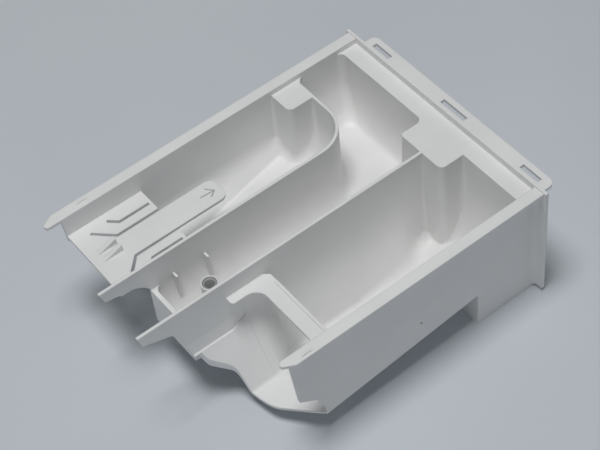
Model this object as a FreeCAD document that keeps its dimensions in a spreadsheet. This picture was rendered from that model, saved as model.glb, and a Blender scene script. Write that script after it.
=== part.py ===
import FreeCAD, Part
import math
import os
import Sketcher

# A one-piece moulded drawer tray for a washing machine's detergent dispenser.
# Frame: X across (tongue compartment at +X), Y from the front (-Y) to the open back (+Y), Z up.
# The origin is under the middle of the outline, on the plane the front foot stands on.

doc = FreeCAD.newDocument("drawer")
sheet = doc.addObject("Spreadsheet::Sheet", "Sizes")

# Driving sizes in mm. Heights named "drop" are measured down from the rim's top,
# sizes along the tray are measured back from the inner face of the front plate.
DRIVING = [
    ("rim_width", 190, "across the two side rims"),
    ("rim_height", 96, "top of the rims above the foot"),
    ("rim_thick", 2.2, "thickness of the rims"),
    ("rim_over", 5.7, "rim beyond the side wall"),
    ("wall", 2.3, "side walls and front plate"),
    ("skin", 2.1, "partitions, floors and bridges"),
    ("front_over", 2, "front plate beyond the rims, each side"),
    ("front_gap", 3, "front plate's lower edge above the foot"),
    ("ridge", 1, "front plate above the rims"),
    ("strip_reach", 11.4, "clip strip in front of the plate's inner face"),
    ("strip_left", 15, "clip strip, left end inside the rim's edge"),
    ("strip_right", 1.5, "clip strip, right end inside the rim's edge"),
    ("strip_round", 5, "clip strip, outer corners"),
    ("slot_near", 3.4, "clip slots, inner side"),
    ("slot_width", 3.6, "clip slots, width"),
    ("slot_short", 16.2, "outer clip slots, length"),
    ("slot_long", 22.3, "middle clip slot, length"),
    ("slot_left", 14.7, "left clip slot, its middle inside the strip's left end"),
    ("slot_middle", -6.2, "middle clip slot, its middle"),
    ("slot_right", 15.7, "right clip slot, its middle inside the strip's right end"),
    ("deck_drop", 4, "deck and partition tops below the rims"),
    ("deck_depth", 12.7, "deck, front to back"),
    ("reach", 249.6, "partition beaks, back end"),
    ("part_right", -17.1, "right partition, right face"),
    ("part_left", 25.1, "left partition, right face"),
    ("cross_at", 50.5, "cross wall of the left compartment, front face"),
    ("bend", 26.9, "left partition's bend, radius of its outer face"),
    ("pad_back", 31, "right pad, back edge"),
    ("pad_left", 2.3, "right pad, left edge"),
    ("pad_right", -35.5, "right pad, right edge"),
    ("post_back", 71.5, "left pad, back edge"),
    ("post_wide", 19.4, "left pad, width inside the left wall"),
    ("pad_round", 4.5, "pad corners"),
    ("left_tip", 246.3, "left rim, back tip"),
    ("left_wall_end", 235.8, "left wall, back end"),
    ("right_tip", 198.7, "right rim, back tip"),
    ("right_wall_end", 192.9, "right wall, back end"),
    ("tip_long", 8, "rim tips, length of the outer chamfer"),
    ("tip_wide", 4.3, "rim tips, width of the outer chamfer"),
    ("foot_depth", 48.3, "front foot, front to back"),
    ("plate_drop", 16.5, "bridge plate below the rims"),
    ("plate_front", 178, "bridge plate, front edge"),
    ("plate_back", 234.4, "bridge plate, back edge"),
    ("tongue_off", 1.1, "release tongue, its middle right of the left compartment's middle"),
    ("tongue_width", 19, "release tongue, width"),
    ("tongue_front", 137.5, "release tongue, front end"),
    ("gap", 2, "slots beside the tongue, width"),
    ("gap_back", 210.5, "inner slots, end of the straight part"),
    ("gap_out", 12.5, "inner slots, run of the slanting part"),
    ("leg", 8.3, "outer slots beside the inner ones"),
    ("leg_back", 203.3, "outer slots, end of the straight part"),
    ("leg_out", 6, "outer slots, run of the slanting part"),
    ("fin_front", 214, "stop fins, front end"),
    ("fin_back", 228, "stop fins, back end"),
    ("fin_high", 5, "stop fins, height"),
    ("fin_thick", 3.4, "stop fins, thickness"),
    ("fin_left", 6.7, "left stop fin beside the tongue's middle"),
    ("fin_right", -0.3, "right stop fin beside the tongue's middle"),
    ("shelf_drop", 18.3, "shelf below the rims"),
    ("shelf_front", 155.2, "shelf, front edge"),
    ("shelf_back", 187, "shelf, ends of its arms"),
    ("bay_front", 167.2, "bay in the shelf, front"),
    ("arm_left", 6.8, "shelf's left arm, width"),
    ("arm_right", 9, "shelf's right arm, width"),
    ("dam_drop", 28, "back dam of the middle compartment below the rims"),
    ("dam_at", 212, "back dam, front face"),
    ("dam_thick", 3.1, "back dam, thickness"),
    ("dam_round", 5, "blend between the back dam and the left partition"),
    ("mid_drop", 57, "floor of the middle compartment below the rims"),
    ("pipe_x", 5, "stand-pipe, across"),
    ("pipe_y", 184.5, "stand-pipe, along"),
    ("pipe_out", 10.2, "stand-pipe, outer diameter"),
    ("pipe_bore", 7, "stand-pipe, bore"),
    ("rib_drop", 25, "ribs in the middle compartment, tops below the rims"),
    ("rib_reach", 4.4, "ribs, reach"),
    ("rib_front", 173.7, "first rib"),
    ("rib_back", 197.5, "second rib"),
    ("keel_drop", 84, "deepest line of the right compartment below the rims"),
    ("gully", 7, "flat bottom of the right compartment, width"),
    ("lean_front", 2.4, "lean of the right compartment's left side at the bottom, in front"),
    ("lean_back", 15.9, "that lean in the compartment"),
    ("lean_spout", 25.9, "that lean in the spout"),
    ("lean_start", 37, "place where that side starts to lean"),
    ("lean_end", 62, "place where that side has its full lean"),
    ("lean_round", 80, "radius above that side"),
    ("gully_round", 3.5, "radius beside the flat bottom, left"),
    ("rise_round", 10, "radius beside the flat bottom, right"),
    ("knee_drop", 45, "knee of the right partition below the rims"),
    ("fold_drop", 38.7, "fold of the right partition over the spout, below the rims"),
    ("edge_front", 66, "right wall's lower edge at the foot, below the rims"),
    ("edge_back", 78.4, "right wall's lower edge at the back, below the rims"),
    ("edge_end", 171.3, "right wall's lower edge, back end"),
    ("bed_drop", 60, "floor of the left compartment at the back, below the rims"),
    ("ledge", 1.4, "ledge on the spout's left side, width"),
    ("ledge_out", 1.5, "ledge in front of the right partition's face"),
    ("ledge_drop", 48.5, "ledge below the rims"),
    ("spout_at", 176, "spout, front end of its own form"),
    ("notch_drop", 48, "notch in the right wall, its top below the rims"),
    ("diag_at", 226.6, "right partition, upper end of its slanting back edge"),
    ("diag_end", 216.4, "right partition, lower end of its slanting back edge"),
    ("beak_drop", 13.2, "underside of the beaks below the rims"),
    ("wing_drop", 32, "slope along the left wall in the middle compartment, its top below the rims"),
    ("wing_wide", 10, "that slope's width"),
    ("bed_end", 199, "floor of the left compartment, back end"),
    ("side_drop", 40, "left compartment's floor at the left wall, in front, below the rims"),
    ("crease_front", 3, "crease in the left compartment's floor, from the left wall, in front"),
    ("crease_back", 30, "crease in the left compartment's floor, from the left wall, at the back"),
    ("detent_long", 10, "detents on the rims, length"),
    ("detent_high", 0.9, "detents on the rims, height"),
    ("detent_left", 217, "left detent, middle"),
    ("detent_right", 181, "right detent, middle"),
    ("blend", 4, "blend between the side walls and the front plate"),
    ("bed_round", 12, "blend between the front wall and the right compartment's bed"),
    ("floor_round", 6, "blend between the front wall and the middle compartment's floor"),
    ("side_round", 16, "blend between the left wall and the left compartment's floor"),
    ("deck_round", 4, "corner between the front wall and the right wall"),
    ("nook_round", 3, "corner between the cross wall and the left wall"),
    ("cove_top", 0.6, "coves beside the posts, radius at the top"),
    ("cove_foot", 9, "coves beside the posts, radius at the foot"),
    ("lip", 2.3, "lip along the shelf's front edge, width"),
    ("lip_high", 0.6, "that lip's height"),
    ("lip_end", 3, "that lip's end, right of the bay's left side"),
    ("lap", 1, "lap where pieces join and cuts run out, not seen on the part"),
    ("arch_drop", 3, "left wall's arch below the bridge plate's underside"),
    ("arch_round", 18, "that arch's radius"),
    ("left_rake", 1.5, "slant of the left wall's back end"),
    ("beak_short", 0.8, "left beak in front of the right one"),
    ("beak_arch", 6.8, "left partition's arch below its beak"),
    ("beak_round", 22, "that arch's radius"),
    ("beak_left", 2.7, "slant of the left beak's end"),
    ("beak_right", 2.2, "slant of the right beak's end"),
    ("crease_rise", 6, "crease in the left compartment's floor, front end above its back end"),
    ("inner_front", 8, "left compartment's floor at the partition, in front, above the crease's back end"),
    ("inner_back", 3, "that floor at the partition, at the back, above the crease's back end"),
    ("side_back", 7, "that floor at the left wall, at the back, above the crease's back end"),
    ("side_skin", 0.8, "right compartment's leaning side, share of the skin"),
    ("fold_skin", 0.4, "spout's leaning side, share of the skin"),
    ("turn_lead", 5, "place where the spout's lean begins, in front of the shelf"),
    ("ledge_seed", 0.2, "ledge's front end, share of its full size"),
    ("ledge_lift", 1, "ledge's front end above the knee"),
    ("edge_nip", 4.6, "spout's edge at the right wall, in front of that wall's lower corner"),
    ("sweep_in", 25, "first turn of the spout's edge, inside the right wall"),
    ("sweep_back", 20.5, "that turn behind the right wall's lower corner"),
    ("sweep_round", 24, "that turn's radius"),
    ("nose_in", 14.2, "spout's nose, right of the partition"),
    ("nose_back", 25.4, "nose behind the right wall's lower corner"),
    ("nose_round", 7, "nose, radius"),
    ("step_in", 6.4, "step beside the nose, right of the partition"),
    ("step_back", 6, "that step in front of the partition's slanting edge"),
    ("step_round", 5, "that step's radius"),
    ("step_end", 1.6, "that step's end in front of the slanting edge"),
    ("diag_top", 7.3, "upper end of the slanting edge below the beak"),
    ("diag_round", 6, "corner between the slanting edge and the beak"),
    ("heel_rake", 0.8, "right wall's lower corner, slant of its end"),
    ("heel_high", 6, "right wall's lower corner, height of its end"),
    ("heel_round", 3, "right wall's lower corner, radius above it"),
    ("notch_long", 16.2, "notch in the right wall, its front end before the wall's end"),
    ("notch_fall", 9, "notch, its front end below its top"),
    ("notch_round", 4, "notch, radius"),
    ("right_rake", 4, "slant of the right wall's back end"),
    ("rib_thick", 1.6, "ribs, thickness"),
    ("tongue_round", 6, "release tongue, front corners"),
    ("leg_front", 2.2, "outer slots behind the bridge plate's front edge"),
    ("shelf_nip", 3.6, "shelf, bevelled corner at the partition"),
    ("arm_round", 2.5, "shelf's left arm, corner"),
    ("bay_left_round", 9, "bay, left corner"),
    ("bay_right_round", 5, "bay, right corner"),
    ("cove_sink", 0.5, "left cove's foot below the crease's front end"),
    ("detent_in", 3, "detents inside the rim's edge"),
    ("detent_wide", 1.6, "detents, width"),
]
for row, (alias, value, note) in enumerate(DRIVING, 1):
    sheet.set(f"A{row}", alias)
    sheet.set(f"B{row}", str(value))
    sheet.set(f"C{row}", note)
    sheet.setAlias(f"B{row}", alias)
doc.recompute()


# A size that carries both its number and the expression that binds it to the sheet.
class Size:
    def __init__(self, number, text):
        self.number = float(number)
        self.text = text

    def join(self, other, sign, number):
        return Size(number, f"({self.text} {sign} {other.text})")

    def __add__(self, other):
        other = size(other)
        return self.join(other, "+", self.number + other.number)

    def __sub__(self, other):
        other = size(other)
        return self.join(other, "-", self.number - other.number)

    def __mul__(self, other):
        other = size(other)
        return self.join(other, "*", self.number * other.number)

    def __truediv__(self, other):
        other = size(other)
        return self.join(other, "/", self.number / other.number)

    def __radd__(self, other):
        return size(other) + self

    def __rsub__(self, other):
        return size(other) - self

    def __rmul__(self, other):
        return size(other) * self

    def __neg__(self):
        return size(0) - self


def size(value):
    return value if isinstance(value, Size) else Size(value, f"{value:g}")


def get(alias):
    return Size(sheet.get(alias), f"Sizes.{alias}")


V = {alias: get(alias) for alias, value, note in DRIVING}

# Sizes that follow from the driving ones.
FRONT = (V["strip_reach"] - V["reach"]) / 2
RIM = V["rim_height"]
HALF = V["rim_width"] / 2
WALL_OUT = HALF - V["rim_over"]
WALL_IN = WALL_OUT - V["wall"]
SKIN = V["skin"]
DECK = RIM - V["deck_drop"]
MR = V["part_right"]
MR_LEFT = MR + SKIN
LM = V["part_left"]
LM_LEFT = LM + SKIN
BITE = SKIN / 2
LAP = V["lap"]
WALL_BITE = WALL_IN + V["wall"] / 2


def along(value):
    return FRONT + value


def below(value):
    return RIM - value


body = doc.addObject("PartDesign::Body", "drawer_tray")
body.Label = "drawer_tray"
PLANES = {feature.Role: feature for feature in body.Origin.OriginFeatures}
ROLE = {"xy": "XY_Plane", "xz": "XZ_Plane", "yz": "YZ_Plane"}


def pin(sketch, geo, pos, u, v):
    for kind, value, axis in (("DistanceX", u, -2), ("DistanceY", v, -1)):
        value = size(value)
        if abs(value.number) < 1e-9:
            sketch.addConstraint(Sketcher.Constraint("PointOnObject", geo, pos, axis))
            continue
        index = sketch.addConstraint(Sketcher.Constraint(kind, -1, 1, geo, pos, value.number))
        sketch.setExpression(f"Constraints[{index}]", value.text)


# Corner arc between two straight sides: its two ends, its centre and the turning direction.
def corner(before, here, after, radius):
    a = FreeCAD.Vector(before[0] - here[0], before[1] - here[1], 0).normalize()
    b = FreeCAD.Vector(after[0] - here[0], after[1] - here[1], 0).normalize()
    half = a.getAngle(b) / 2
    back = radius / math.tan(half)
    middle = (a + b).normalize() * (radius / math.sin(half))
    point = FreeCAD.Vector(here[0], here[1], 0)
    return point + a * back, point + b * back, point + middle, a.cross(b).z < 0


def outline(sketch, points):
    if len(points) == 1:
        u, v, across = (size(value) for value in points[0])
        middle = FreeCAD.Vector(u.number, v.number, 0)
        circle = Part.Circle(middle, FreeCAD.Vector(0, 0, 1), across.number / 2)
        geo = sketch.addGeometry(circle, False)
        pin(sketch, geo, 3, u, v)
        index = sketch.addConstraint(Sketcher.Constraint("Diameter", geo, across.number))
        sketch.setExpression(f"Constraints[{index}]", across.text)
        return
    flat = [(size(p[0]).number, size(p[1]).number) for p in points]
    count = len(points)
    arcs = {}
    for i, p in enumerate(points):
        if len(p) > 2:
            arcs[i] = corner(flat[i - 1], flat[i], flat[(i + 1) % count], size(p[2]).number)
    lines = []
    for i in range(count):
        j = (i + 1) % count
        start = arcs[i][1] if i in arcs else FreeCAD.Vector(flat[i][0], flat[i][1], 0)
        end = arcs[j][0] if j in arcs else FreeCAD.Vector(flat[j][0], flat[j][1], 0)
        lines.append(sketch.addGeometry(Part.LineSegment(start, end), False))
    for i, p in enumerate(points):
        prior = lines[i - 1]
        if i not in arcs:
            sketch.addConstraint(Sketcher.Constraint("Coincident", prior, 2, lines[i], 1))
            pin(sketch, lines[i], 1, p[0], p[1])
            continue
        enter, leave, centre, left = arcs[i]
        first, last = (enter, leave) if left else (leave, enter)
        angles = [math.atan2(q.y - centre.y, q.x - centre.x) for q in (first, last)]
        circle = Part.Circle(centre, FreeCAD.Vector(0, 0, 1), size(p[2]).number)
        arc = sketch.addGeometry(Part.ArcOfCircle(circle, angles[0], angles[1]), False)
        mark = sketch.addGeometry(Part.Point(FreeCAD.Vector(flat[i][0], flat[i][1], 0)), True)
        pin(sketch, mark, 1, p[0], p[1])
        sketch.addConstraint(Sketcher.Constraint("PointOnObject", mark, 1, prior))
        sketch.addConstraint(Sketcher.Constraint("PointOnObject", mark, 1, lines[i]))
        sketch.addConstraint(Sketcher.Constraint("Tangent", prior, 2, arc, 1 if left else 2))
        sketch.addConstraint(Sketcher.Constraint("Tangent", lines[i], 1, arc, 2 if left else 1))
        index = sketch.addConstraint(Sketcher.Constraint("Radius", arc, size(p[2]).number))
        sketch.setExpression(f"Constraints[{index}]", size(p[2]).text)


def draw(name, plane, level, loops):
    sketch = body.newObject("Sketcher::SketchObject", name + "_sketch")
    sketch.AttachmentSupport = [(PLANES[ROLE[plane]], "")]
    sketch.MapMode = "FlatFace"
    lift = -size(level) if plane == "xz" else size(level)
    sketch.AttachmentOffset = FreeCAD.Placement(FreeCAD.Vector(0, 0, lift.number), FreeCAD.Rotation())
    sketch.setExpression("AttachmentOffset.Base.z", lift.text)
    for points in loops:
        outline(sketch, points)
    sketch.Visibility = False
    return sketch


volumes = []


def settle(feature, grows):
    feature.Refine = False
    doc.recompute()
    volume = body.Shape.Volume
    if volumes and grows != (volume > volumes[-1]):
        raise RuntimeError(f"{feature.Name} turned the wrong way")
    volumes.append(volume)
    return feature


# Material between two levels along the plane's axis.
def slab(name, plane, low, high, *loops):
    sketch = draw(name, plane, high if plane == "xz" else low, loops)
    pad = body.newObject("PartDesign::Pad", name)
    pad.Profile = sketch
    pad.setExpression("Length", (size(high) - low).text)
    return settle(pad, True)


# Material taken away between two levels along the plane's axis.
def cut(name, plane, low, high, *loops):
    sketch = draw(name, plane, low if plane == "xz" else high, loops)
    pocket = body.newObject("PartDesign::Pocket", name)
    pocket.Profile = sketch
    pocket.setExpression("Length", (size(high) - low).text)
    return settle(pocket, False)


# Material between cross-sections standing at several places along the tray.
def skinned(name, stations):
    sketches = [draw(f"{name}_{i}", "xz", along(y), [points]) for i, (y, points) in enumerate(stations)]
    loft = body.newObject("PartDesign::AdditiveLoft", name)
    loft.Profile = sketches[0]
    loft.Sections = sketches[1:]
    loft.Ruled = True
    return settle(loft, True)


# Rounded inner edges, found by a spot each of them passes through.
def blend(name, radius, *spots):
    source = body.Tip
    names = []
    for spot in spots:
        vertex = Part.Vertex(FreeCAD.Vector(*[size(value).number for value in spot]))
        edges = enumerate(source.Shape.Edges, 1)
        names += [f"Edge{i}" for i, edge in edges if edge.distToShape(vertex)[0] < 0.05]
    fillet = body.newObject("PartDesign::Fillet", name)
    fillet.Base = (source, names)
    fillet.setExpression("Radius", size(radius).text)
    return settle(fillet, True)


def box(x0, x1, y0, y1):
    return [(x0, y0), (x1, y0), (x1, y1), (x0, y1)]


# Plan of a hollow rounding in an upright corner; the room lies on the given sides of the corner.
# Along each wall the plan runs a little past the rounding.
COVE_RUN = 1.05


def cove(x, y, side_x, side_y, radius):
    reach = radius * COVE_RUN
    return [
        (x - side_x * BITE / 2, y - side_y * BITE / 2),
        (x + side_x * reach, y - side_y * BITE / 2),
        (x + side_x * reach, y),
        (x, y, radius),
        (x, y + side_y * reach),
        (x - side_x * BITE / 2, y + side_y * reach),
    ]


# Front plate with its ridge, and the clip strip with three slots.
front_face = along(0)
front_out = along(-V["wall"])
half_front = HALF + V["front_over"]
ridge_top = RIM + V["ridge"]
slab("front_plate", "xz", front_out, front_face, box(-half_front, half_front, V["front_gap"], ridge_top))

strip_out = along(-V["strip_reach"])
strip_low = ridge_top - V["rim_thick"]
strip_left = HALF - V["strip_left"]
strip_right = V["strip_right"] - HALF
near = along(-V["slot_near"])
slots = []
for x, length in (
    (strip_left - V["slot_left"], "slot_short"),
    (V["slot_middle"], "slot_long"),
    (strip_right + V["slot_right"], "slot_short"),
):
    half = V[length] / 2
    slots.append(box(x - half, x + half, near - V["slot_width"], near))
slab("clip_strip", "xy", strip_low, ridge_top, [
    (strip_right, strip_out, V["strip_round"]),
    (strip_left, strip_out, V["strip_round"]),
    (strip_left, front_face),
    (strip_right, front_face),
], *slots)

# Side walls. The foot is the part of each wall that reaches down to the ground.
foot_end = along(V["foot_depth"])
rim_low = RIM - V["rim_thick"]
right_end = along(V["right_wall_end"])
left_end = along(V["left_wall_end"])
tail = along(V["dam_at"])
bed_low = below(V["bed_drop"]) - SKIN
arch_top = below(V["plate_drop"]) - SKIN - V["arch_drop"]
slab("left_wall", "yz", WALL_IN, WALL_OUT, [
    (front_out, 0),
    (foot_end, 0),
    (foot_end, bed_low),
    (tail, bed_low),
    (tail, arch_top, V["arch_round"]),
    (left_end - V["left_rake"], arch_top),
    (left_end - V["left_rake"], below(V["plate_drop"])),
    (left_end, RIM),
    (front_out, RIM),
])

# Rims: flat rails outside the walls that run on past the walls' back ends.
for side, name, tip in ((1, "left_rim", "left_tip"), (-1, "right_rim", "right_tip")):
    peak = along(V[tip])
    slab(name, "xy", rim_low, RIM, [
        (side * WALL_IN, front_out),
        (side * HALF, front_out),
        (side * HALF, peak - V["tip_long"]),
        (side * (HALF - V["tip_wide"]), peak),
        (side * WALL_IN, peak, V["wall"]),
    ])

# Deck behind the front plate.
deck_low = DECK - SKIN
deck_back = along(V["deck_depth"])
slab("deck", "xy", deck_low, DECK, box(-WALL_IN - BITE, WALL_IN + BITE, front_out, deck_back))

# Partitions. Both end in a beak over the open back.
beak_end = along(V["reach"])
beak_low = below(V["beak_drop"])
left_beak = beak_end - V["beak_short"]
bend_x = LM + V["bend"]
cross = along(V["cross_at"])
bend_y = cross + V["bend"]
slab("left_partition", "yz", LM, LM_LEFT, [
    (bend_y - LAP, bed_low),
    (tail, bed_low),
    (tail, beak_low - V["beak_arch"], V["beak_round"]),
    (left_beak - V["beak_left"], beak_low),
    (left_beak, DECK),
    (bend_y - LAP, DECK),
])
slab("cross_wall", "xy", bed_low, DECK, [
    (WALL_IN + BITE, cross),
    (LM, cross, V["bend"]),
    (LM, bend_y + 2 * LAP),
    (LM_LEFT, bend_y + 2 * LAP),
    (LM_LEFT, cross + SKIN, V["bend"] - SKIN),
    (WALL_IN + BITE, cross + SKIN),
])


# Left compartment: two floor facets meeting at a crease that wanders inwards towards the back.
def bed(x_crease, side, crease, inner):
    return [
        (WALL_BITE, below(side)),
        (WALL_BITE, below(side) - SKIN),
        (x_crease, below(crease) - SKIN),
        (LM + BITE, below(inner) - SKIN),
        (LM + BITE, below(inner)),
        (x_crease, below(crease)),
    ]


front_crease = WALL_IN - V["crease_front"]
back_crease = WALL_IN - V["crease_back"]
front_drop = V["bed_drop"] - V["crease_rise"]
front_inner = V["bed_drop"] - V["inner_front"]
back_inner = V["bed_drop"] - V["inner_back"]
back_side = V["bed_drop"] - V["side_back"]
skinned("left_bed", [
    (V["cross_at"] + BITE, bed(front_crease, V["side_drop"], front_drop, front_inner)),
    (V["bed_end"], bed(back_crease, back_side, V["bed_drop"], back_inner)),
])
cut("bend_clear", "xy", bed_low - SKIN, DECK, [
    (LM - LAP, cross - LAP),
    (bend_x + LAP, cross - LAP),
    (bend_x + LAP, cross),
    (LM, cross, V["bend"]),
    (LM, bend_y + LAP),
    (LM - LAP, bend_y + LAP),
])

# Soft corner along the left wall, half-way between the two ends of the floor.
bed_middle = along((V["cross_at"] + BITE + V["bed_end"]) / 2)
side_middle = below((V["side_drop"] + back_side) / 2)
crease_middle = below((front_drop + V["bed_drop"]) / 2)
crease_run = WALL_BITE - (front_crease + back_crease) / 2
side_fall = (side_middle - crease_middle) * (WALL_BITE - WALL_IN) / crease_run
blend("side_blend", V["side_round"], (WALL_IN, bed_middle, side_middle - side_fall))

# Right compartment: its left side leans out to a narrow flat bottom, from which the bed rises to the wall.
keel = below(V["keel_drop"])
knee = below(V["knee_drop"])
side_top = below(V["shelf_drop"])
edge_rate = (V["edge_back"] - V["edge_front"]) / (V["edge_end"] - V["foot_depth"])


def edge_at(y):
    return below(V["edge_front"] + edge_rate * (y - V["foot_depth"])) + SKIN


# The bottom and the bed of a cross-section, and the underside of its skin.
def trough(lean, edge, shift):
    bottom = MR - lean
    return [
        (bottom, keel, V["gully_round"]),
        (bottom - V["gully"], keel, V["rise_round"]),
        (-WALL_BITE, edge),
        (-WALL_BITE, edge - SKIN),
        (bottom - V["gully"], keel - SKIN),
        (bottom + shift, keel - SKIN),
    ]


def hopper(lean, edge, radius):
    shift = SKIN * V["side_skin"]
    side = [(MR + shift, side_top), (MR, side_top), (MR, knee, radius)]
    return side + trough(lean, edge, shift) + [(MR + shift, knee - SKIN)]


hopper_front = V["deck_depth"] - BITE
hopper_back = V["shelf_front"] - V["turn_lead"]
spout_at = V["spout_at"]


# A gentle change from one value to another, as (place, value) pairs.
def eased(start, end, low, high, steps):
    shares = [i / steps for i in range(steps + 1)]
    return [(start + (end - start) * t, low + (high - low) * (t * t * (3 - 2 * t))) for t in shares]


soft = V["lean_round"]
start_leans = eased(V["lean_start"], V["lean_end"], V["lean_front"], V["lean_back"], 5)
spout_leans = eased(hopper_back, spout_at, V["lean_back"], V["lean_spout"], 4)
spout_rounds = eased(hopper_back, spout_at, soft, soft / 3, 4)
places = [(hopper_front, V["lean_front"], soft)]
places += [(y, lean, soft) for y, lean in start_leans]
places += [(y, lean, radius) for (y, lean), (same, radius) in zip(spout_leans, spout_rounds)]
skinned("right_bed", [(y, hopper(lean, edge_at(y), radius)) for y, lean, radius in places])


# Beside the spout the partition folds outwards and the spout's own side starts at a narrow ledge.
def spout(out, width, drop):
    fold = below(V["fold_drop"])
    bottom = trough(V["lean_spout"], edge_at(spout_at), SKIN * V["fold_skin"])
    return [
        (MR + BITE, fold + SKIN),
        (MR, fold + SKIN),
        (MR, fold),
        (MR - out, below(drop)),
        (MR - out - width, below(drop)),
        *bottom,
        (MR + BITE, below(drop) - SKIN),
    ]


seed = V["ledge_seed"]
ledge_full = (V["ledge_out"], V["ledge"], V["ledge_drop"])
skinned("spout_bed", [
    (spout_at, spout(V["ledge_out"] * seed, V["ledge"] * seed, V["knee_drop"] - V["ledge_lift"])),
    (V["shelf_back"], spout(*ledge_full)),
    (V["diag_at"], spout(*ledge_full)),
])

# The spout's free edge runs back from the wall in a long curve, then steps back along the partition.
knee_low = below(V["ledge_drop"])
spout_end = along(V["edge_end"])
diag_end = along(V["diag_end"])
cut("spout_edge", "xy", 0, knee_low - SKIN / 4, [
    (-HALF, spout_end - V["edge_nip"]),
    (V["sweep_in"] - WALL_IN, spout_end + V["sweep_back"], V["sweep_round"]),
    (MR - V["nose_in"], spout_end + V["nose_back"], V["nose_round"]),
    (MR - V["step_in"], diag_end - V["step_back"], V["step_round"]),
    (MR_LEFT, diag_end - V["step_end"]),
    (MR_LEFT, beak_end),
    (-HALF, beak_end),
])
diag_line = [(diag_end, knee_low - SKIN), (along(V["diag_at"]), beak_low - V["diag_top"])]
beak_room = [(beak_end, beak_low), (beak_end, knee_low - SKIN)]
cut("fold_edge", "yz", -WALL_IN, MR_LEFT, diag_line + beak_room)
slab("right_partition", "yz", MR, MR_LEFT, [
    (deck_back - SKIN, below(V["mid_drop"]) - BITE),
    (tail + SKIN, below(V["mid_drop"]) - BITE),
    diag_line[0],
    (*diag_line[1], V["diag_round"]),
    (beak_end - V["beak_right"], beak_low),
    (beak_end, DECK),
    (deck_back - SKIN, DECK),
])

# Right wall, notched above the spout.
heel = below(V["edge_back"])
notch = below(V["notch_drop"])
slab("right_wall", "yz", -WALL_OUT, -WALL_IN, [
    (front_out, 0),
    (foot_end, 0),
    (foot_end, below(V["edge_front"])),
    (spout_end, heel),
    (spout_end - V["heel_rake"], heel + V["heel_high"], V["heel_round"]),
    (right_end - V["notch_long"], notch - V["notch_fall"], V["notch_round"]),
    (right_end - V["right_rake"], notch),
    (right_end, RIM),
    (front_out, RIM),
])

blend("plate_blend", V["blend"], *[(side * WALL_OUT, front_face, RIM / 2) for side in (1, -1)])

# Front wall of the compartments and the middle compartment's floor with its left wing.
mid_floor = below(V["mid_drop"])
mid_low = mid_floor - SKIN
wing = WALL_IN - V["wing_wide"]
slope_top = below(V["wing_drop"])
front_gully = MR - V["lean_front"] - V["gully"]
slab("front_wall", "xz", deck_back - SKIN, deck_back, [
    (-WALL_BITE, edge_at(hopper_front) - BITE),
    (front_gully, keel - BITE),
    (MR - V["lean_front"], keel - BITE),
    (MR, mid_low),
    (wing, mid_low),
    (WALL_BITE, slope_top - SKIN),
    (WALL_BITE, DECK),
    (-WALL_BITE, DECK),
])
pad_back = along(V["pad_back"])
slab("right_post", "xy", keel - SKIN, DECK, [
    (V["pad_right"], deck_back - BITE),
    (V["pad_left"], deck_back - BITE),
    (V["pad_left"], pad_back, V["pad_round"]),
    (V["pad_right"], pad_back, V["pad_round"]),
])
bed_x = V["blend"] - WALL_IN
bed_edge = edge_at(V["deck_depth"])
bed_fall = (bed_edge - keel) * (bed_x + WALL_BITE) / (front_gully + WALL_BITE)
blend("bed_blend", V["bed_round"], (bed_x, deck_back, bed_edge - bed_fall))
slab("deck_cove", "xy", bed_edge - BITE, DECK, cove(-WALL_IN, deck_back, 1, 1, V["deck_round"]))
slab("middle_floor", "xy", mid_low, mid_floor, [
    (MR_LEFT - BITE, deck_back - BITE),
    (wing, deck_back - BITE),
    (wing, cross + BITE),
    (LM + BITE, cross + BITE, V["bend"] - BITE),
    (LM + BITE, tail + BITE),
    (MR_LEFT - BITE, tail + BITE),
])
slab("wing_slope", "xz", deck_back - BITE, cross + BITE, [
    (wing - LAP, mid_low),
    (wing + LAP, mid_low),
    (WALL_BITE, slope_top - 2 * SKIN),
    (WALL_BITE, slope_top),
    (wing - LAP, mid_floor),
])
blend("floor_blend", V["floor_round"], ((wing + V["pad_left"]) / 2, deck_back, mid_floor))

# Dam, ribs and siphon stand-pipe of the middle compartment.
dam_top = below(V["dam_drop"])
slab("dam", "xy", mid_low, dam_top, box(MR_LEFT - BITE, LM + BITE, tail, tail + V["dam_thick"]))
slab("dam_cove", "xy", mid_low, dam_top, cove(LM, tail, -1, -1, V["dam_round"]))
for name, where in (("first_rib", "rib_front"), ("second_rib", "rib_back")):
    y = along(V[where])
    half = V["rib_thick"] / 2
    plan = box(LM - V["rib_reach"], LM + BITE, y - half, y + half)
    slab(name, "xy", mid_floor - BITE, below(V["rib_drop"]), plan)
pipe = (V["pipe_x"], along(V["pipe_y"]))
slab("stand_pipe", "xy", mid_low, dam_top, [(*pipe, V["pipe_out"])])
cut("pipe_bore", "xy", mid_low - LAP, dam_top, [(*pipe, V["pipe_bore"])])

# Bridge plate with its tongue, freed by two open slots and eased by two closed ones.
plate_top = below(V["plate_drop"])
plate_low = plate_top - SKIN
tongue_half = V["tongue_width"] / 2
plate_front = along(V["plate_front"])
tongue_mid = (LM_LEFT + WALL_IN) / 2 - V["tongue_off"]
tongue_left = tongue_mid + tongue_half
tongue_right = tongue_mid - tongue_half
slab("bridge_plate", "xy", plate_low, plate_top, [
    (LM_LEFT - BITE, plate_front),
    (tongue_right, plate_front),
    (tongue_right, along(V["tongue_front"]), V["tongue_round"]),
    (tongue_left, along(V["tongue_front"]), V["tongue_round"]),
    (tongue_left, plate_front),
    (WALL_BITE, plate_front),
    (WALL_BITE, along(V["plate_back"])),
    (LM_LEFT - BITE, along(V["plate_back"])),
])


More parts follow.
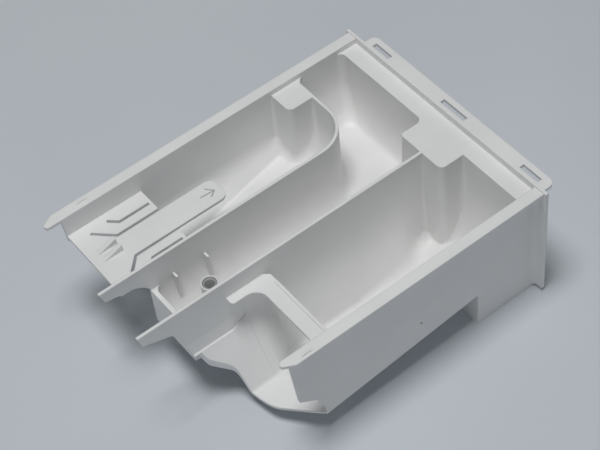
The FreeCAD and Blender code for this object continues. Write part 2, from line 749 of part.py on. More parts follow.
# A slot of even width that runs back and then slants outwards at 45 degrees.
def slant(side, start, front, back, run):
    x0 = tongue_mid + side * start
    x1 = x0 + side * V["gap"]
    nip = V["gap"] * math.tan(math.pi / 8)
    aslant = V["gap"] * math.sin(math.pi / 4)
    return [
        (x0, front),
        (x0, back),
        (x0 + side * run, back + run),
        (x0 + side * (run + aslant), back + run - aslant),
        (x1, back - nip),
        (x1, front),
    ]


leg_front = plate_front + V["leg_front"]
leg_start = tongue_half + V["leg"]
cut("tongue_slots", "xy", plate_low - LAP, plate_top, *[
    slant(side, tongue_half, plate_front - LAP, along(V["gap_back"]), V["gap_out"]) for side in (1, -1)
], *[
    slant(side, leg_start, leg_front, along(V["leg_back"]), V["leg_out"]) for side in (1, -1)
])
for name, where in (("left_fin", "fin_left"), ("right_fin", "fin_right")):
    x = tongue_mid + V[where]
    slab(name, "yz", x - V["fin_thick"] / 2, x + V["fin_thick"] / 2, [
        (along(V["fin_front"]), plate_top - BITE),
        (along(V["fin_back"]), plate_top - BITE),
        (along(V["fin_back"]), plate_top),
        (along(V["fin_front"]), plate_top + V["fin_high"]),
    ])

# Shelf with a bay over the spout.
shelf_front = along(V["shelf_front"])
shelf_back = along(V["shelf_back"])
bay_front = along(V["bay_front"])
bay_left = MR - V["arm_left"]
bay_right = -WALL_IN + V["arm_right"]
slab("shelf", "xy", side_top - SKIN, side_top, [
    (-WALL_BITE, shelf_front),
    (MR - V["shelf_nip"], shelf_front),
    (MR, shelf_front + V["shelf_nip"]),
    (MR + BITE, shelf_front + V["shelf_nip"]),
    (MR + BITE, shelf_back),
    (bay_left, shelf_back, V["arm_round"]),
    (bay_left, bay_front, V["bay_left_round"]),
    (bay_right, bay_front, V["bay_right_round"]),
    (bay_right, shelf_back),
    (-WALL_BITE, shelf_back),
])
lip_plan = box(-WALL_BITE, bay_left - V["lip_end"], shelf_front, shelf_front + V["lip"])
slab("shelf_lip", "xy", side_top - BITE, side_top + V["lip_high"], lip_plan)

# Pads on hollow posts, open from below.
post_back = along(V["post_back"])
blend("pad_blend", V["pad_round"], (V["pad_left"], deck_back, DECK - V["beak_drop"]))
cut("right_post_hollow", "xy", -LAP, deck_low, [
    (V["pad_right"] + SKIN, deck_back - SKIN - LAP),
    (V["pad_left"] - SKIN, deck_back - SKIN - LAP),
    (V["pad_left"] - SKIN, pad_back - SKIN, V["pad_round"] - SKIN),
    (V["pad_right"] + SKIN, pad_back - SKIN, V["pad_round"] - SKIN),
])
post_right = WALL_IN - V["post_wide"]
slab("left_post", "xy", bed_low, DECK, [
    (post_right, cross + BITE),
    (WALL_BITE, cross + BITE),
    (WALL_BITE, post_back),
    (post_right, post_back, V["pad_round"]),
])
cut("left_post_hollow", "xy", -LAP, deck_low, [
    (post_right + SKIN, cross + SKIN),
    (WALL_IN, cross + SKIN),
    (WALL_IN, post_back - SKIN),
    (post_right + SKIN, post_back - SKIN, V["pad_round"] - SKIN),
])
slab("nook_cove", "xy", slope_top - SKIN, DECK, cove(WALL_IN, cross, -1, -1, V["nook_round"]))


# Coves in the corners beside the posts widen towards the floor.
def flare(name, x, y, foot):
    plans = []
    for end, level, radius in (("foot", foot, V["cove_foot"]), ("top", deck_low, V["cove_top"])):
        plans.append(draw(f"{name}_{end}", "xy", level, [cove(x, y, -1, 1, radius)]))
    loft = body.newObject("PartDesign::AdditiveLoft", name)
    loft.Profile = plans[0]
    loft.Sections = plans[1:]
    loft.Ruled = True
    return settle(loft, True)


flare("right_cove", V["pad_right"], deck_back, keel)
flare("left_cove", post_right, cross + SKIN, below(front_drop + V["cove_sink"]))

# Back wall of the foot, up to the undersides of the compartments.
lean_share = (V["foot_depth"] - V["lean_start"]) / (V["lean_end"] - V["lean_start"])
foot_gully = MR - V["lean_front"] - (V["lean_back"] - V["lean_front"]) * lean_share - V["gully"]
slab("foot_back", "xz", foot_end - SKIN, foot_end, [
    (-WALL_BITE, 0),
    (WALL_BITE, 0),
    (WALL_BITE, slope_top - SKIN),
    (wing, mid_low + BITE),
    (MR, mid_low + BITE),
    (foot_gully + V["gully"], keel - BITE),
    (foot_gully, keel - BITE),
    (-WALL_BITE, edge_at(V["foot_depth"]) - BITE),
])

# Detents on the rims.
for name, side, where in (("left_detent", 1, "detent_left"), ("right_detent", -1, "detent_right")):
    y = along(V[where])
    x = side * (HALF - V["detent_in"])
    half = V["detent_wide"] / 2
    slab(name, "yz", x - half, x + half, [
        (y - V["detent_long"] / 2, RIM - LAP),
        (y + V["detent_long"] / 2, RIM - LAP),
        (y + V["detent_long"] / 2, RIM),
        (y + V["detent_long"] / 4, RIM + V["detent_high"]),
        (y - V["detent_long"] / 2, RIM),
    ])

body.Tip.Refine = True
doc.recompute()
bad = [o.Name for o in doc.Objects if "Invalid" in o.State or "Error" in o.State]
shape = body.Shape
if bad or shape.isNull() or not shape.isValid():
    raise RuntimeError(f"not sound: {bad}")
print("volume", shape.Volume, "solids", len(shape.Solids))
os.makedirs("parts", exist_ok=True)
shape.exportStep("parts/drawer_tray.step")
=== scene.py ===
import bmesh
import bpy
import math
import numpy as np
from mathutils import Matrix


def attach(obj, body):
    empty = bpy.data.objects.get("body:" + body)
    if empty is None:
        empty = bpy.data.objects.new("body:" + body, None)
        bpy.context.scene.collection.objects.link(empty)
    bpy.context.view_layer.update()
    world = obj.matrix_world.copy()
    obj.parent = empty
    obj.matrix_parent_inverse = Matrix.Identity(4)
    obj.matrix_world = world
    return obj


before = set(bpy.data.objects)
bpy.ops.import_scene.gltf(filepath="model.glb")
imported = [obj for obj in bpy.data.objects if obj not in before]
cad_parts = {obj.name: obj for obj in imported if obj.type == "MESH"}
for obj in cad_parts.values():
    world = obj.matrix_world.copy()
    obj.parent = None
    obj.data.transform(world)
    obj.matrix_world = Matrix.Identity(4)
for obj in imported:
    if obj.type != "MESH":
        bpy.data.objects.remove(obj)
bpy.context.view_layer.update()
scene = bpy.context.scene

mm = 0.001
quarterTurn = math.pi / 2
seam = 0.001 * mm  # points nearer than this are one point
clear = 0.03  # how far most soft surfaces lie over the solid, in mm
inside = {  # inner faces of the tray that the soft surfaces start from, in mm
    "wall": 87.0,  # left wall; the right wall is its mirror image
    "front": -106.4,
    "deck": 92.0, "underDeck": 89.9,
    "floor": 39.0,  # of the middle compartment
    "keel": 12.0,  # lowest line of the right compartment
    "cross": (-68.6, -66.5),  # front and back of the wall that closes the left compartment
    "leftPartition": (25.1, 27.2),  # its sides in the middle and in the left compartment
    "leftPost": (67.6, -47.6),  # side and back of the post
    "rightPost": (-35.5, -88.1),
    "knee": (-17.1, 51.0),  # side of the right partition, and the height below which it leans
    "lean": 2.4,  # how far it leans out from knee to keel, at its front
}


def linear(hexText):  # sRGB hex to linear light, channel by channel
    channels = [int(hexText[i:i + 2], 16) / 255 for i in (1, 3, 5)]
    return tuple(c / 12.92 if c <= 0.04045 else ((c + 0.055) / 1.055) ** 2.4 for c in channels) + (1.0,)


def addNode(tree, kind, settings=None, links=None, stops=()):  # one node: settings, links, colour stops
    node = tree.nodes.new(kind)
    for name, value in (settings or {}).items():
        if name in node.inputs:
            node.inputs[name].default_value = value
        else:
            setattr(node, name, value)
    for name, source in (links or {}).items():
        tree.links.new(source, node.inputs[name])
    for i, (share, colour) in enumerate(stops):
        node.color_ramp.elements[i].position = share
        node.color_ramp.elements[i].color = linear(colour)
    return node


def newMaterial(name):  # a material with an empty node tree
    material = bpy.data.materials.new(name)
    material.use_nodes = True
    material.node_tree.nodes.clear()
    return material, material.node_tree


def grid(name, points, material):  # mesh from rows x columns x 3 points in metres: a face for each cell
    rows, columns, _ = points.shape
    i, j = np.meshgrid(np.arange(rows - 1), np.arange(columns - 1), indexing="ij")
    first = i * columns + j
    faces = np.stack([first, first + 1, first + columns + 1, first + columns], -1).reshape(-1, 4)
    mesh = bpy.data.meshes.new(name)
    mesh.from_pydata(points.reshape(-1, 3), [], faces.tolist())
    work = bmesh.new()
    work.from_mesh(mesh)
    bmesh.ops.remove_doubles(work, verts=work.verts, dist=seam)  # closes seams and poles
    work.to_mesh(mesh)
    work.free()
    mesh.polygons.foreach_set("use_smooth", np.ones(len(mesh.polygons), bool))
    mesh.materials.append(material)
    piece = bpy.data.objects.new(name, mesh)
    scene.collection.objects.link(piece)
    return piece


# Polypropylene as it leaves a polished mould: a satin white, faintly cloudy, with a little light inside
plastic = {
    "tones": ("#ededec", "#f3f3f2"),
    "spread": (0.30, 0.70),  # stretch of the cloud over which tone and gloss change
    "cloud": 45 * mm,
    "grain": 0.35 * mm,  # mould grain; single pits are too fine to see, together they soften the shine
    "grainDepth": 0.012 * mm,
    "ripple": 14 * mm,  # slow waviness from cooling
    "rippleDepth": 0.05 * mm,
    "rough": (0.34, 0.46),
    "ior": 1.49,
    "edge": 0.7 * mm,  # radius that sharp edges seem to have
    "edgeSamples": 6,
    "glow": 0.06,
    "glowReach": 2.5 * mm,
    "glowColour": (1.0, 0.95, 0.9),
}


def mouldedPlastic(name, spec):
    # clouds set tone and gloss; soft edges, waviness and grain are laid on each other
    material, tree = newMaterial(name)
    low, high = spec["spread"]
    smooth, dull = spec["rough"]
    where = addNode(tree, "ShaderNodeTexCoord").outputs["Object"]
    cloud = addNode(tree, "ShaderNodeTexNoise",
                    {"Scale": 1 / spec["cloud"], "Detail": 3.0}, {"Vector": where})
    tone = addNode(tree, "ShaderNodeValToRGB", None, {"Fac": cloud.outputs["Fac"]},
                   zip(spec["spread"], spec["tones"]))
    grain = addNode(tree, "ShaderNodeTexNoise",
                    {"Scale": 1 / spec["grain"], "Detail": 2.0}, {"Vector": where})
    wave = addNode(tree, "ShaderNodeTexNoise",
                   {"Scale": 1 / spec["ripple"], "Detail": 1.0}, {"Vector": where})
    rough = addNode(tree, "ShaderNodeMapRange",
                    {"From Min": low, "From Max": high, "To Min": smooth, "To Max": dull},
                    {"Value": cloud.outputs["Fac"]})
    soft = addNode(tree, "ShaderNodeBevel", {"samples": spec["edgeSamples"], "Radius": spec["edge"]})
    slow = addNode(tree, "ShaderNodeBump", {"Strength": 1.0, "Distance": spec["rippleDepth"]},
                   {"Height": wave.outputs["Fac"], "Normal": soft.outputs["Normal"]})
    fine = addNode(tree, "ShaderNodeBump", {"Strength": 1.0, "Distance": spec["grainDepth"]},
                   {"Height": grain.outputs["Fac"], "Normal": slow.outputs["Normal"]})
    shader = addNode(tree, "ShaderNodeBsdfPrincipled", {
        "IOR": spec["ior"],
        "Subsurface Weight": spec["glow"],
        "Subsurface Radius": spec["glowColour"],
        "Subsurface Scale": spec["glowReach"],
    }, {
        "Base Color": tone.outputs["Color"],
        "Roughness": rough.outputs["Result"],
        "Normal": fine.outputs["Normal"],
    })
    addNode(tree, "ShaderNodeOutputMaterial", None, {"Surface": shader.outputs["BSDF"]})
    return material


trayPlastic = mouldedPlastic("moulded polypropylene", plastic)
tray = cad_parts["drawer_tray"]
tray.data.materials.clear()
tray.data.materials.append(trayPlastic)
print("stage: tray dressed")


def place(name, points, material):  # a piece of the tray from an array in mm
    piece = grid(name, points * mm, material)
    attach(piece, "root")


def unit(steps):  # the same directions with length one
    return steps / np.linalg.norm(steps, axis=-1, keepdims=True)


def lift(flat, z):  # plan points of rows x columns x 2 raised to the heights z
    return np.concatenate([flat, np.broadcast_to(z, flat.shape[:2])[..., None]], -1)


def roundedRows(corners, radii, runSteps, turnSteps):
    # rows x corners x 2 to rows x steps x 2: straight runs joined by quarter arcs
    turn = np.linspace(0, quarterTurn, turnSteps)[:, None]
    legs = [corners[:, :1]]
    for k in range(1, corners.shape[1] - 1):
        here = corners[:, k]
        back = unit(corners[:, k - 1] - here)[:, None]
        ahead = unit(corners[:, k + 1] - here)[:, None]
        radius = radii[:, k - 1, None, None]
        legs.append(here[:, None] + radius * (back + ahead - ahead * np.cos(turn) - back * np.sin(turn)))
    legs.append(corners[:, -1:])
    share = np.linspace(0, 1, runSteps + 1)[1:-1, None]
    rows = [legs[0]]
    for before, after in zip(legs, legs[1:]):
        rows += [before[:, -1:] + share * (after[:, :1] - before[:, -1:]), after]
    return np.concatenate(rows, 1)


def hollow(h, wide, high):  # reach of a hollow blend at height h: a quarter ellipse tangent to wall and floor
    below = np.clip(high - h, 0, None) / high
    return wide * (1 - np.sqrt(np.clip(1 - below ** 2, 0, 1)))


scoop = {  # front left corner of the middle compartment, in mm
    "crossEnd": 60.0, "frontEnd": 2.3,  # x where it ends along the cross wall and along the front wall
    "wing": (10.0, 25.0, 1.5),  # slope along the left wall: width, height and softness
    "sideFoot": (7.0, 10.0),  # blends to the floor: width and height
    "frontFoot": (7.5, 27.0),
    "crossFoot": (6.0, 8.0),
    "corner": (4.5, 5.0, 20.0),  # upright corner: least radius, growth to the floor, height of growth
    "nook": 5.5,  # upright corner at the cross wall
    "clear": 0.04,
    "steps": (64, 14, 24),  # rows, points along a run, points round a turn
    "crowd": 2.4,  # draws the rows together towards the floor
    "capRows": 4,
}
scoopHeight = inside["deck"] - inside["floor"]


def cornerRadius(h, spec):  # radius of the upright corner at height h: it dies away upwards
    least, growth, over = spec["corner"]
    return least + growth * np.exp(-h / over)


def scoopSurface(name, spec, material):
    # level rows along three walls with arcs between them; a row stands off a wall by what its height gives
    rows, runSteps, turnSteps = spec["steps"]
    h = scoopHeight * np.linspace(1, 0, rows) ** spec["crowd"]
    wide, high, soft = spec["wing"]
    wing = soft * np.log1p(np.exp(wide * (1 - h / high) / soft))
    side = inside["wall"] - wing - hollow(h, *spec["sideFoot"]) - spec["clear"]
    front = inside["front"] + hollow(h, *spec["frontFoot"]) + spec["clear"]
    back = inside["cross"][0] - hollow(h, *spec["crossFoot"]) - spec["clear"]
    crossEnd, frontEnd, nook = (np.full(rows, spec[key]) for key in ("crossEnd", "frontEnd", "nook"))
    spots = [(crossEnd, back), (side, back), (side, front), (frontEnd, front)]
    corners = np.stack([np.stack(spot, -1) for spot in spots], 1)
    flat = roundedRows(corners, np.stack([nook, cornerRadius(h, spec)], -1), runSteps, turnSteps)
    z = inside["floor"] + h + spec["clear"]
    place(name, lift(flat, z[:, None])[::-1], material)


def cornerCap(name, edge, way, radius, spec, material):
    # flat corner on the deck: a quarter arc drawn in to the corner's point
    turn = np.linspace(0, quarterTurn, spec["steps"][2])
    share = np.linspace(0, 1, spec["capRows"])[::-way, None]
    x = inside["wall"] - share * radius * (1 - np.cos(turn))
    y = edge + way * share * radius * (1 - np.sin(turn))
    place(name, lift(np.stack([x, y], -1), inside["deck"] + spec["clear"]), material)


scoopSurface("middle_scoop", scoop, trayPlastic)
cornerCap("middle_corner", inside["front"], 1, cornerRadius(scoopHeight, scoop), scoop, trayPlastic)
cornerCap("middle_nook", inside["cross"][0], -1, scoop["nook"], scoop, trayPlastic)


def footSurface(name, spec, floorAt, material):
    # quarter ellipse carried along a wall's foot, its size changing evenly from one given value to the next
    rows, runSteps, turnSteps = spec["steps"]
    turn = np.linspace(0, quarterTurn, rows)
    corners = np.broadcast_to(np.array(spec["path"]), (rows, len(spec["path"]), 2))
    top, foot = (np.array(spec[key]) for key in ("radiiTop", "radiiFoot"))
    radii = top + (foot - top) * np.sin(turn)[:, None]
    flat = roundedRows(corners, radii, runSteps, turnSteps)
    ahead = unit(np.gradient(flat, axis=1))
    aside = np.stack([ahead[..., 1], -ahead[..., 0]], -1) * spec["room"]
    run = np.linspace(0, len(spec["wide"]) - 1, flat.shape[1])
    wide, high = (np.interp(run, np.arange(len(spec[key])), spec[key]) for key in ("wide", "high"))
    flat = flat + aside * (wide * (1 - np.cos(turn)[:, None]) + clear)[..., None]
    z = floorAt(flat) + high * (1 - np.sin(turn)[:, None]) + clear
    place(name, lift(flat, z)[::-spec["room"]], material)


partitionFoot = {  # foot of the cross wall and the left partition in the middle compartment, in mm
    "path": [
        (62.0, inside["cross"][0]),
        (inside["leftPartition"][0], inside["cross"][0]),
        (inside["leftPartition"][0], 92.9),
    ],
    "radiiTop": [26.9], "radiiFoot": [26.9],  # the path's turns at the blend's top and at its foot
    "wide": [6.0, 4.0, 3.0, 6.0, 12.0, 19.0],
    "high": [8.0, 6.0, 5.0, 12.0, 27.0, 30.0],
    "room": -1,  # side of the path that the compartment is on: 1 for the right, -1 for the left
    "steps": (17, 12, 40),  # rows, points along a run, points round a turn
}


def middleFloorAt(p):  # level
    return np.full(p.shape[:2], inside["floor"])


footSurface("partition_foot", partitionFoot, middleFloorAt, trayPlastic)

leftFloor = {  # floor of the left compartment: y of its ends, then x and z of its lines at both ends, in mm
    "ends": (-67.55, 79.9),
    "wall": ((88.15, 56.0), (88.15, 43.0)),
    "crease": ((84.0, 42.0), (57.0, 36.0)),
    "partition": ((26.15, 44.0), (26.15, 39.0)),
}


def leftFloorShape(t):  # crease and the slopes beside it, at a share t of the straight way from front to back
    lines = [np.array(leftFloor[key]) for key in ("wall", "crease", "partition")]
    wall, crease, partition = (front + t[..., None] * (back - front) for front, back in lines)
    outer, inner = wall - crease, crease - partition
    return crease[..., 0], crease[..., 1], outer[..., 1] / outer[..., 0], inner[..., 1] / inner[..., 0]


def leftFloorAt(p):  # straight up from the crease to both sides
    front, back = leftFloor["ends"]
    creaseX, creaseZ, outer, inner = leftFloorShape((p[..., 1] - front) / (back - front))
    away = p[..., 0] - creaseX
    return creaseZ + away * np.where(away > 0, outer, inner)


leftBowl = {  # foot of the post, the cross wall and the left partition in the left compartment, in mm
    "path": [
        (86.9, inside["leftPost"][1]),
        inside["leftPost"],
        (inside["leftPost"][0], inside["cross"][1]),
        (inside["leftPartition"][1], inside["cross"][1]),
        (inside["leftPartition"][1], leftFloor["ends"][1]),
    ],
    "radiiTop": [4.5, 3.6, 24.8], "radiiFoot": [4.5, 10.0, 24.8],
    "wide": [7.0, 5.0, 5.0, 9.0, 14.0, 12.0, 0.5],  # fades out at the open back
    "high": [9.0, 7.0, 9.0, 30.0, 30.0, 20.0, 0.5],
    "room": 1,
    "steps": (17, 8, 24),
}
footSurface("left_bowl", leftBowl, leftFloorAt, trayPlastic)

cove = {  # what the upright corners share
    "radiusTop": 0.8,
    "lean": 0.0,
    "steps": (24, 20),  # rows, points round an arc
}
coves = {  # x of the wall, y of the face that meets it, lowest height and radius there, in mm
    "left_corner": {
        **cove, "wall": inside["wall"], "face": inside["leftPost"][1],
        "low": 46.0, "radiusLow": 5.0,
    },
    "right_corner": {
        **cove, "wall": inside["knee"][0], "face": inside["rightPost"][1],
        "low": inside["keel"], "radiusLow": 3.8,
        "lean": inside["lean"] / (inside["knee"][1] - inside["keel"]),  # below the knee, for each mm down
    },
    "front_corner": {
        **cove, "wall": inside["rightPost"][0], "face": inside["front"],
        "low": 24.0, "radiusLow": 9.0,
    },
}


def coveSurface(name, spec, material):  # quarter arcs in an upright corner, the radius growing downwards
    rows, turnSteps = spec["steps"]
    turn = np.linspace(0, quarterTurn, turnSteps)
    share = np.linspace(1, 0, rows)[:, None]
    radius = spec["radiusTop"] + share * (spec["radiusLow"] - spec["radiusTop"])
    z = inside["underDeck"] + share * (spec["low"] - inside["underDeck"])
    wall = spec["wall"] - clear - spec["lean"] * np.clip(inside["knee"][1] - z, 0, None)
    x = wall - radius * (1 - np.cos(turn))
    y = spec["face"] + clear + radius * (1 - np.sin(turn))
    place(name, lift(np.stack([x, y], -1), z), material)


for name, spec in coves.items():
    coveSurface(name, spec, trayPlastic)

rightBowl = {  # foot of the right partition's front end, the post and the front wall, in mm
    "path": [
        (-19.3, -72.0),
        (-19.3, inside["rightPost"][1]),
        inside["rightPost"],
        (inside["rightPost"][0], inside["front"]),
        (-inside["wall"], inside["front"]),
    ],
    "radiiTop": [3.6, 4.5, 3.4], "radiiFoot": [6.0, 4.5, 12.0],
    "wide": [4.0, 6.5, 4.0, 1.3, 1.3, 2.0, 7.0, 11.0, 14.0],
    "high": [5.0, 9.0, 5.0, 1.3, 1.3, 5.0, 34.0, 50.0, 46.0],
    "room": 1,
    "steps": (17, 8, 24),
    "bedStart": -26.5, "bedRise": 0.3635,  # x where the flat bottom ends and the bed's slope from there
}


def rightFloorAt(p):  # flat, then rising evenly towards the right wall
    return inside["keel"] + rightBowl["bedRise"] * np.clip(rightBowl["bedStart"] - p[..., 0], 0, None)


footSurface("right_bowl", rightBowl, rightFloorAt, trayPlastic)

gullySide = {  # foot of the right partition, which leans out more and more behind the post, in mm
    "back": -20.0,
    "lean": (inside["lean"], 15.9),  # before and after the stretch over which it grows
    "leanFrom": -82.1, "leanOver": 25.0, "leanStations": 6,
    "reachAt": [-88.1, -80.0, -66.0, -48.0, -20.0],  # y and how far the blend reaches there
    "reach": [5.0, 8.0, 11.0, 7.0, 3.5],
    "steps": (90, 21),  # along the partition, across the blend
}


def gullySurface(name, spec, material):
    # parabola from the leaning side to the flat bottom; the lean grows slowly, fast and slowly again
    rows, columns = spec["steps"]
    station = np.linspace(0, 1, spec["leanStations"])
    least, most = spec["lean"]
    leans = least + (most - least) * station ** 2 * (3 - 2 * station)
    y = np.linspace(spec["back"], inside["rightPost"][1] + clear, rows)[:, None]
    lean = np.interp(y, spec["leanFrom"] + spec["leanOver"] * station, leans)
    reach = np.interp(y, spec["reachAt"], spec["reach"])
    kneeX, kneeZ = inside["knee"]
    drop = kneeZ - inside["keel"]
    t = np.linspace(0, 1, columns)
    up = reach * (1 - t) ** 2 / np.hypot(lean, drop)
    x = kneeX - lean + up * lean - reach * t ** 2 - clear
    z = inside["keel"] + up * drop + clear
    place(name, np.stack([x, y + 0 * t, z], -1), material)


gullySurface("gully_side", gullySide, trayPlastic)

padFront = inside["front"] + clear
padBack = inside["rightPost"][1] + clear
padSide = {  # left side of the right pad and its post, in mm
    "path": [(12.0, padFront), (4.0, padFront), (4.0, padBack), (-14.9, padBack)],
    "radii": [4.5, 2.6],
    "draft": (2.2, 0.6),  # how far the foot stands out to the left and to the back
    "draw": 4.0,  # width of the strip on top
    "steps": (6, 12),  # points along a run, points round a turn
}


def padSideSurface(name, spec, material):
    # the plan's path carried down with some draft, and a flat top drawn in from the same path
    runSteps, turnSteps = spec["steps"]
    level = np.array([inside["deck"] + clear, inside["floor"]])
    corners = np.array([spec["path"]] * 2)
    corners[1, 1:3, 0] += spec["draft"][0]
    corners[1, 2:, 1] += spec["draft"][1]
    flat = roundedRows(corners, np.array([spec["radii"]] * 2), runSteps, turnSteps)
    place(name + "_wall", lift(flat, level[:, None])[::-1], material)
    edge = flat[:1, runSteps:2 * (runSteps + turnSteps) - 1]  # from one arc's start to the other's end
    top = np.concatenate([edge, edge - np.array([spec["draw"], 0.0])], 0)
    place(name + "_top", lift(top, level[0]), material)


padSideSurface("pad_side", padSide, trayPlastic)

creaseBlend = {  # rounded crease of the left compartment's floor, in mm
    "half": 1.2, "most": 0.8,  # half its width, and the share of the outer slope that it may take
    "start": 0.12,  # share of the floor's length in front of it
    "clear": 0.05,
    "steps": (40, 13),  # along the crease, across it
}


def creaseSurface(name, spec, material):
    # parabola across the crease that meets both slopes, carried from front to back
    rows, columns = spec["steps"]
    front, back = leftFloor["ends"]
    t = np.linspace(spec["start"], 1, rows)[:, None]
    creaseX, creaseZ, outer, inner = leftFloorShape(t)
    half = np.minimum(spec["half"], spec["most"] * (leftFloor["wall"][0][0] - creaseX))
    v = half * np.linspace(-1, 1, columns)
    bend = (outer - inner) / 4
    z = creaseZ + bend * half + (outer + inner) / 2 * v + bend / half * v ** 2 + spec["clear"]
    place(name, np.stack([creaseX + v, front + t * (back - front) + 0 * v, z], -1), material)


# Painted highlight: the rounded crease is coloured lighter than the floor to stand in for the light it
# catches, a thin light line along the floor
creaseHighlightTones = ("#fafaf9", "#fdfdfc")
creaseHighlightPlastic = mouldedPlastic("moulded polypropylene, painted crease highlight", {**plastic, "tones": creaseHighlightTones})
creaseSurface("floor_crease", creaseBlend, creaseHighlightPlastic)
print("stage: soft corners laid")

pipe = {  # stand-pipe: radius and height along its lip and its seat, up and in to the bore, in mm
    "middle": (5.0, 65.4),
    "lip": [
        (5.9, inside["floor"]), (5.9, 52.0), (5.9, 68.7), (5.8, 69.0),
        (5.5, 69.1), (5.1, 69.1), (4.95, 69.0), (4.9, 68.9),
    ],
    "seat": [(4.9, 68.9), (4.8, 68.5), (4.5, 68.15), (4.1, 68.08), (3.6, 68.05)],
    "steps": 49,
}


def turnedPiece(name, key, spec, material):  # a profile of radius and height turned about an upright axis
    radius, height = np.array(spec[key]).T[..., None]
    turn = np.linspace(0, 2 * math.pi, spec["steps"])
    x = spec["middle"][0] + radius * np.cos(turn)
    y = spec["middle"][1] + radius * np.sin(turn)
    place(name, lift(np.stack([x, y], -1), height), material)


# The seat lies in the lip's shade: a grey ring inside a white one
seatTones = ("#97999b", "#9fa1a3")
seatPlastic = mouldedPlastic("moulded polypropylene, shaded seat", {**plastic, "tones": seatTones})
turnedPiece("pipe_lip", "lip", pipe, trayPlastic)
turnedPiece("pipe_seat", "seat", pipe, seatPlastic)

gateMark = {  # small pip on the outside of the right wall, in mm
    "spot": (-89.3, -24.5, 42.7), "radius": 0.75, "height": 0.15, "steps": (6, 25),
}


def sidePip(name, spec, material):  # low dome on an upright wall: height falls with the distance squared
    rows, turnSteps = spec["steps"]
    share = np.linspace(0, 1, rows)[:, None]
    turn = np.linspace(0, 2 * math.pi, turnSteps)
    wallX, middleY, middleZ = spec["spot"]
    x = wallX - spec["height"] * (1 - share ** 2) + 0 * turn
    y = middleY + spec["radius"] * share * np.cos(turn)
    z = middleZ + spec["radius"] * share * np.sin(turn)
    place(name, np.stack([x, y, z], -1), material)


# The spot where the melt came in: one dark speck on the wall
darkTones = ("#54575a", "#5c5f62")
darkPlastic = mouldedPlastic("moulded polypropylene, gate mark", {**plastic, "tones": darkTones})
sidePip("gate_mark", gateMark, darkPlastic)
print("stage: small details laid")

arrow = {  # arrow on the release tongue: plan points of its three lines, in mm
    "tip": (55.7, 23.4),
    "tails": [(56.4, 33.7), (60.4, 27.4), (52.5, 27.8)],
    "base": 79.48, "width": 0.9, "height": 0.4,
    "steps": (25, 9),  # along a line, across it
}


def ridge(name, tail, spec, material):
    # raised line: a half-ellipse across, carried along a straight run and drawn in at its ends
    rows, columns = spec["steps"]
    start = np.array(tail)
    run = np.array(spec["tip"]) - start
    length = np.hypot(*run)
    ahead = run / length
    aside = np.array([-ahead[1], ahead[0]])
    half = spec["width"] / 2
    t = np.linspace(-half, length + half, rows)[:, None]
    over = np.clip(np.maximum(-t, t - length), 0, half) / half
    swell = np.sqrt(np.maximum(1 - over ** 2, 0))
    turn = np.linspace(0, math.pi, columns)
    flat = start + t[..., None] * ahead + (half * swell * np.cos(turn))[..., None] * aside
    place(name, lift(flat, spec["base"] + spec["height"] * swell * np.sin(turn)), material)


# Fine relief keeps some shade at its sides: it reads light grey on the white tongue
reliefTones = ("#b4b5b6", "#babbbb")
reliefPlastic = mouldedPlastic("moulded polypropylene, shaded relief", {**plastic, "tones": reliefTones})
for i, tail in enumerate(arrow["tails"]):
    ridge(f"arrow_line_{i}", tail, arrow, reliefPlastic)
print("stage: arrow drawn")

floorLook = {  # a wide sheet of pale paper, in metres
    "tones": ("#d2d8de", "#d6dce1"), "spread": (0.35, 0.65), "patch": 220 * mm, "rough": 0.8,
    "half": 3.0, "steps": 9,
}


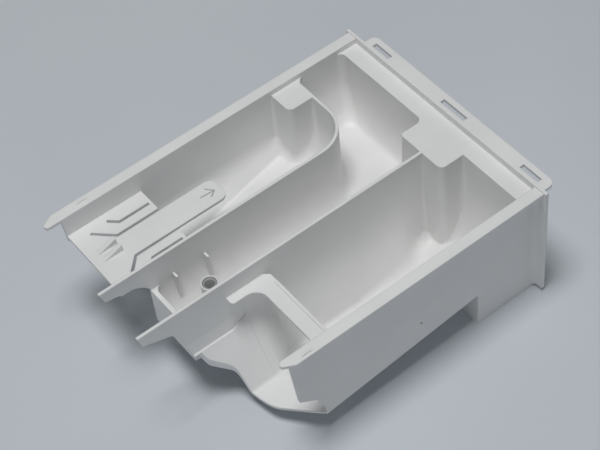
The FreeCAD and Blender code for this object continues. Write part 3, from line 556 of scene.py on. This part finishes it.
def floorMaterial(spec):  # matt pale paper, its tone slightly uneven
    material, tree = newMaterial("pale paper")
    where = addNode(tree, "ShaderNodeTexCoord").outputs["Object"]
    cloud = addNode(tree, "ShaderNodeTexNoise",
                    {"Scale": 1 / spec["patch"], "Detail": 2.0}, {"Vector": where})
    tone = addNode(tree, "ShaderNodeValToRGB", None, {"Fac": cloud.outputs["Fac"]},
                   zip(spec["spread"], spec["tones"]))
    shader = addNode(tree, "ShaderNodeBsdfPrincipled", {"Roughness": spec["rough"]},
                     {"Base Color": tone.outputs["Color"]})
    addNode(tree, "ShaderNodeOutputMaterial", None, {"Surface": shader.outputs["BSDF"]})
    return material


def flatFloor(spec):  # level square: x and y run over the two parameters, z is nought
    side = np.linspace(-spec["half"], spec["half"], spec["steps"])
    x, y = np.meshgrid(side, side)
    return grid("floor", np.stack([x, y, np.zeros_like(x)], -1), floorMaterial(spec))


flatFloor(floorLook)
print("stage: floor laid")

aim = np.array([0.0, 0.0, 0.05])  # the tray's middle, in metres
lights = {  # round soft lamps that look at the aim: spot and size in metres, power in watts
    "top": {"spot": (-0.10, 0.25, 2.1), "size": 0.7, "power": 22.5, "colour": "#ffffff"},
    "side": {"spot": (-1.5, 0.9, 1.1), "size": 1.2, "power": 1.5, "colour": "#f4f8ff"},
}
for name, spec in lights.items():
    data = bpy.data.lights.new(name, "AREA")
    data.shape = "DISK"
    data.size = spec["size"]
    data.energy = spec["power"]
    data.color = linear(spec["colour"])[:3]
    lamp = bpy.data.objects.new(name, data)
    lamp.location = spec["spot"]
    x, y, z = aim - np.array(spec["spot"])
    lamp.rotation_euler = (math.atan2(math.hypot(x, y), -z), 0.0, math.atan2(y, x) - quarterTurn)
    scene.collection.objects.link(lamp)

roomLight = {"colour": "#e8edf2", "strength": 0.15}
world = bpy.data.worlds.new("soft room")
world.use_nodes = True
sky = world.node_tree.nodes["Background"]
sky.inputs["Color"].default_value = linear(roomLight["colour"])
sky.inputs["Strength"].default_value = roomLight["strength"]
scene.world = world
scene.view_settings.view_transform = "Standard"
print("stage: lights set")

view = {  # the photograph's angle: place and farthest sight in metres, turn in degrees, lens and sensor in mm
    "place": (-0.5694, 0.3558, 0.8907), "turn": (39.267, 4.667, -127.840),
    "lens": 101.43, "sensor": 36, "sight": 20,
}
cameraData = bpy.data.cameras.new("photo view")
cameraData.lens = view["lens"]
cameraData.sensor_width = view["sensor"]
cameraData.clip_end = view["sight"]
camera = bpy.data.objects.new("photo view", cameraData)
camera.location = view["place"]
camera.rotation_euler = [math.radians(a) for a in view["turn"]]
scene.collection.objects.link(camera)
scene.camera = camera
print("stage: camera set")
